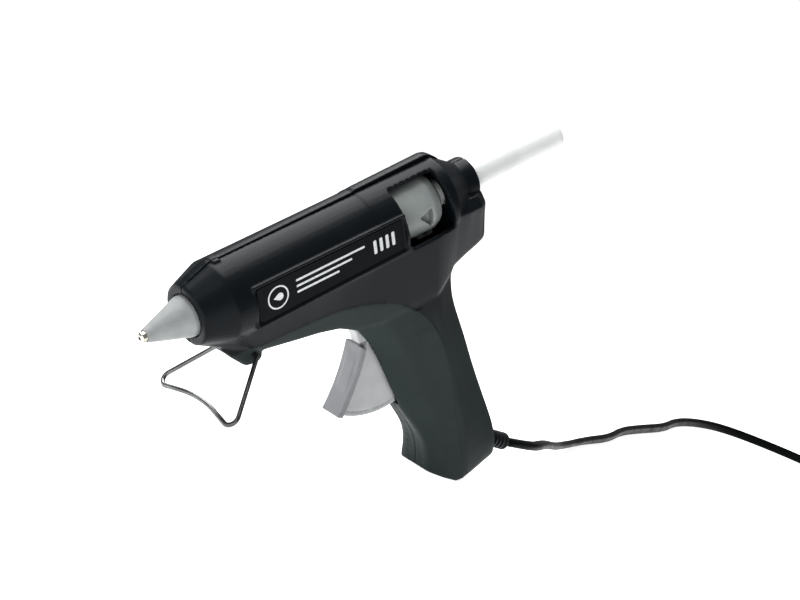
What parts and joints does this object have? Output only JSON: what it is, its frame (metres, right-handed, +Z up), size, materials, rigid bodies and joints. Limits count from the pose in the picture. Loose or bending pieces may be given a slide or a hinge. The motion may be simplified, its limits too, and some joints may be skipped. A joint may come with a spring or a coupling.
{
  "type": "hot glue gun",
  "caption": "Pistol-grip hot glue gun on a folding wire stand, with a trigger feed, a glue stick loaded and a mains cord.",
  "frame": {"origin": "on the floor, below the middle of the gun's bounding box without its free cord", "axes": "+X from the nozzle end towards the grip, along the floor; +Y to the gun's right; +Z up from the floor"},
  "size_m": [0.8836, 0.3499, 0.1632],
  "materials": {
    "shell": "satin moulded nylon, darker and smoother on the barrel",
    "label": null,
    "screw": "blackened cross-head screws",
    "brass": "turned brass, bright at the tip",
    "silicone": "grey silicone rubber",
    "cast": "die-cast aluminium",
    "steel": "drawn steel",
    "ceramic": "sintered ceramic",
    "film": "amber polyimide film",
    "feed": "light grey moulded acetal",
    "trigger": "mid grey moulded plastic",
    "wire_blue": "PVC insulation",
    "wire_brown": "PVC insulation",
    "cord": "soft black PVC",
    "stick": "clear translucent hot-melt glue",
    "tie": "black plastic strip",
    "pin_metal": "nickel-plated brass"
  },
  "bodies": {
    "housing": {"left_shell": "shell", "right_shell": "shell", "shell_screws": "screw", "label_left": "label", "label_right": "label", "nozzle": "brass", "nozzle_sleeve": "silicone", "melt_chamber": "cast", "ptc_heater": "ceramic", "electrodes": "steel", "heater_film": "film", "heater_spring": "steel", "inlet_sleeve": "silicone", "sleeve_clip": "steel", "valve_spring": "steel", "trigger_pin": "steel", "return_spring": "steel", "live_wire": "wire_brown", "neutral_wire": "wire_blue", "wire_terminals": "steel", "cord_gland": "cord", "cord_tail": "cord", "cord_clamp": "trigger", "clamp_screws": "steel", "cord_run": "cord", "cord_coil": "cord", "coil_tie": "tie", "plug_body": "cord", "plug_pins": "pin_metal"},
    "trigger": {"trigger": "trigger"},
    "carriage": {"feed_carriage": "feed", "drive_pin": "steel", "claw_pin": "steel"},
    "gripper": {"gripper_claw": "steel"},
    "stand": {"wire_stand": "steel"},
    "stick": {"glue_stick": "stick"},
    "valve": {"valve_ball": "steel"}
  },
  "joints": [
    {"name": "trigger_pull", "type": "hinge", "parent": "housing", "child": "trigger", "pos_m": [0.0054, 0, 0.0528], "axis": [0, -1, 0], "range_deg": [0, 24], "stiffness_Nm_per_rad": 0.25, "springref_deg": -17.19, "deforming": ["return_spring"]},
    {"name": "carriage_feed", "type": "slide", "parent": "housing", "child": "carriage", "axis": [-0.788, 0, -0.6157], "range_m": [0, 0.0156]},
    {"name": "gripper_tilt", "type": "hinge", "parent": "carriage", "child": "gripper", "pos_m": [0.00715, 0, 0.1001], "axis": [0, 1, 0], "range_deg": [0, 3.6]},
    {"name": "stand_fold", "type": "hinge", "parent": "housing", "child": "stand", "pos_m": [-0.05859, 0, 0.02945], "axis": [0, -1, 0], "range_deg": [0, 125]},
    {"name": "stick_feed", "type": "slide", "parent": "housing", "child": "stick", "axis": [0.788, 0, 0.6157], "range_m": [-0.0115, 0.12]},
    {"name": "valve_lift", "type": "slide", "parent": "housing", "child": "valve", "axis": [-0.788, 0, -0.6157], "range_m": [0, 0.001], "stiffness_N_per_m": 60, "springref_m": -0.003, "deforming": ["valve_spring"]}
  ],
  "couplings": [
    {"joint": "carriage_feed", "follows": "trigger_pull", "m_per_rad": 0.0365},
    {"joint": "gripper_tilt", "follows": "trigger_pull", "ratio": 0.15}
  ]
}
